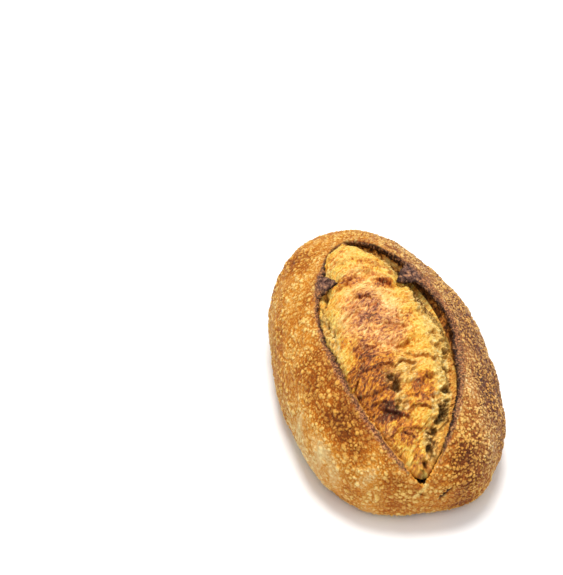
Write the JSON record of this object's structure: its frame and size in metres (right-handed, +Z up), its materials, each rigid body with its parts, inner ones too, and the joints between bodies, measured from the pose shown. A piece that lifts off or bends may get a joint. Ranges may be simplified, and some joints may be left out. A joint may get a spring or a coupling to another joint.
{
  "type": "farmhouse loaf",
  "caption": "Oval crusty hearth loaf whose one long slash has opened into a craggy bloom between two raised lips, standing on a flat base.",
  "frame": {"origin": "middle of the flat base's plane, under the middle of the loaf's box", "axes": "+X along the loaf towards the end where the slash runs down to a point, +Y towards the flank whose lip stands up as an ear, +Z up"},
  "size_m": [0.2424, 0.1444, 0.1017],
  "materials": {
    "crust": "dry baked crust, blistered, satin to matt",
    "bloom": "dry torn crumb, golden, toasted brown on its ridges, matt"
  },
  "bodies": {
    "root": {"loaf": "crust"}
  },
  "joints": []
}
